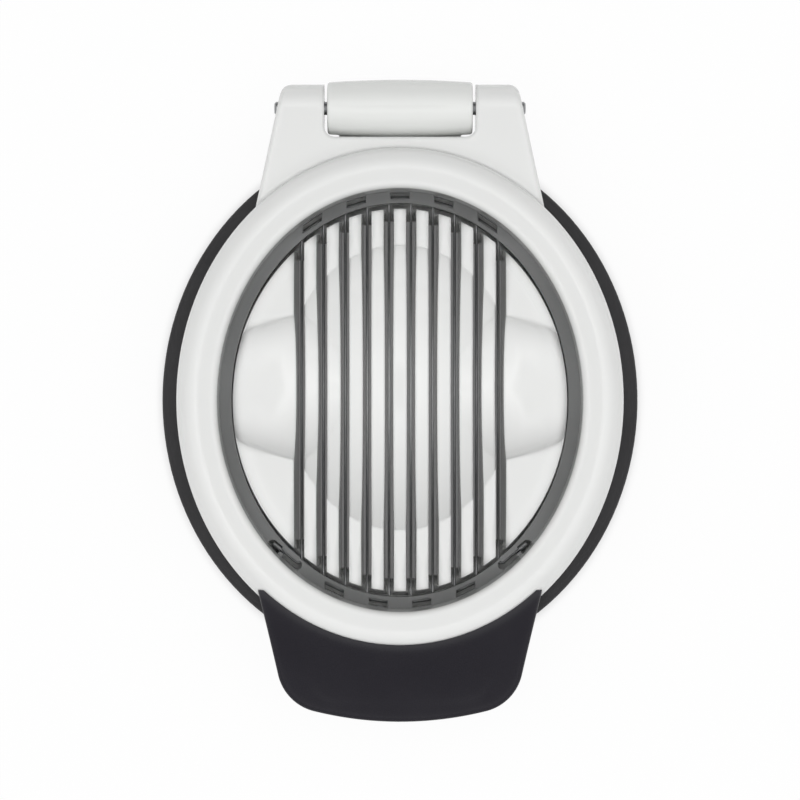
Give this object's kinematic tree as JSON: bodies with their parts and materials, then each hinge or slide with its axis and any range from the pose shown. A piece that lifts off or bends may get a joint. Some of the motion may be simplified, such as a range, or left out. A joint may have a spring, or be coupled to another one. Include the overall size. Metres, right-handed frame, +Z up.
{
  "type": "egg slicer",
  "caption": "Hand egg slicer: oval base with a ribbed egg cradle and a hinged frame strung with steel cutting wire.",
  "frame": {"origin": "on the table under the middle of the egg cradle", "axes": "+X along the hinge pin, +Y from the thumb grip to the hinge, +Z up"},
  "size_m": [0.1094, 0.1463, 0.0345],
  "materials": {
    "white_plastic": "satin white",
    "grey_plastic": "moulded mid grey",
    "black_soft": "soft-touch charcoal",
    "wire_steel": "drawn stainless wire",
    "pin_steel": "ground stainless rod"
  },
  "bodies": {
    "base": {"base_shell": "white_plastic", "egg_cradle": "white_plastic", "non_slip_skirt": "black_soft"},
    "frame": {"wire_frame": "white_plastic", "thumb_grip": "black_soft", "wire_carrier": "grey_plastic", "slicing_wire": "wire_steel", "left_wire_crimp": "wire_steel", "right_wire_crimp": "wire_steel", "hinge_pin": "pin_steel"}
  },
  "joints": [
    {"name": "frame_hinge", "type": "hinge", "parent": "base", "child": "frame", "pos_m": [0, 0.0665, 0.0191], "axis": [-1, 0, 0], "range_deg": [0, 110]}
  ]
}
